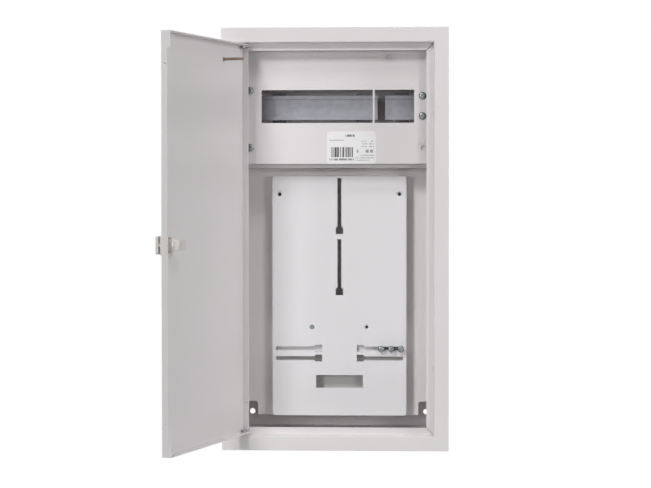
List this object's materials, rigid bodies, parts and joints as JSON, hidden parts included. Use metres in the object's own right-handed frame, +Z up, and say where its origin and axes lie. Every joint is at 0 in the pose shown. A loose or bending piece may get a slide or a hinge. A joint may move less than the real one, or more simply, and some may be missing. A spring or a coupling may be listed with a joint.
{
  "type": "electric meter box",
  "caption": "Recessed sheet-steel cabinet with a hinged door, a covered rail section at the top and a slotted plastic board for a meter below.",
  "frame": {"origin": "centre of the wall-fixing hole pattern, on the outer face of the back wall", "axes": "+X to the right as seen from the front, +Y into the wall, +Z up"},
  "size_m": [0.3784, 0.3942, 0.592],
  "materials": {
    "enclosure_paint": "light grey-white powder coat",
    "zinc_plated_steel": "bright zinc plating",
    "lock_nut_steel": "dull brownish zinc plating",
    "coppered_steel": "copper-plated stud",
    "board_plastic": "white moulded plastic",
    "lock_plastic": "white moulded plastic, slight sheen"
  },
  "bodies": {
    "box": {"wall_box": "enclosure_paint", "front_frame": "enclosure_paint", "frame_screws": "enclosure_paint", "section_shelf": "enclosure_paint", "cover_bracket_left": "enclosure_paint", "cover_bracket_right": "enclosure_paint", "cover_bracket_top": "enclosure_paint", "module_cover": "enclosure_paint", "mounting_plate": "enclosure_paint", "cover_screws": "zinc_plated_steel", "rail_long": "zinc_plated_steel", "rail_short": "zinc_plated_steel", "rail_bracket_1": "zinc_plated_steel", "rail_bracket_2": "zinc_plated_steel", "rail_bracket_3": "zinc_plated_steel", "board_screw": "zinc_plated_steel", "hinge_pin_top": "zinc_plated_steel", "hinge_pin_bottom": "zinc_plated_steel", "meter_board": "board_plastic"},
    "door": {"door_panel": "enclosure_paint", "earth_stud": "coppered_steel", "lock_housing": "lock_plastic", "lock_nut": "lock_nut_steel"},
    "lock": {"lock_knob": "lock_plastic", "lock_cam": "lock_plastic", "cam_screw": "lock_plastic"},
    "meter_fixing_1": {"meter_screw_1": "zinc_plated_steel", "meter_nut_1": "zinc_plated_steel"},
    "meter_fixing_2": {"meter_screw_2": "zinc_plated_steel", "meter_nut_2": "zinc_plated_steel"},
    "meter_fixing_3": {"meter_screw_3": "zinc_plated_steel", "meter_nut_3": "zinc_plated_steel"}
  },
  "joints": [
    {"name": "door_hinge", "type": "hinge", "parent": "box", "child": "door", "pos_m": [-0.128, -0.1395, 0], "axis": [0, 0, 1], "range_deg": [-11, 107.2]},
    {"name": "lock_turn", "type": "hinge", "parent": "door", "child": "lock", "pos_m": [-0.20045, -0.37354, -0.0013], "axis": [0.9553, -0.2957, 0], "range_deg": [0, 180]},
    {"name": "meter_slide_1", "type": "slide", "parent": "box", "child": "meter_fixing_1", "axis": [1, 0, 0], "range_m": [-0.02, 0.002]},
    {"name": "meter_slide_2", "type": "slide", "parent": "box", "child": "meter_fixing_2", "axis": [1, 0, 0], "range_m": [-0.002, 0.0015]},
    {"name": "meter_slide_3", "type": "slide", "parent": "box", "child": "meter_fixing_3", "axis": [1, 0, 0], "range_m": [-0.0015, 0.0005]}
  ]
}
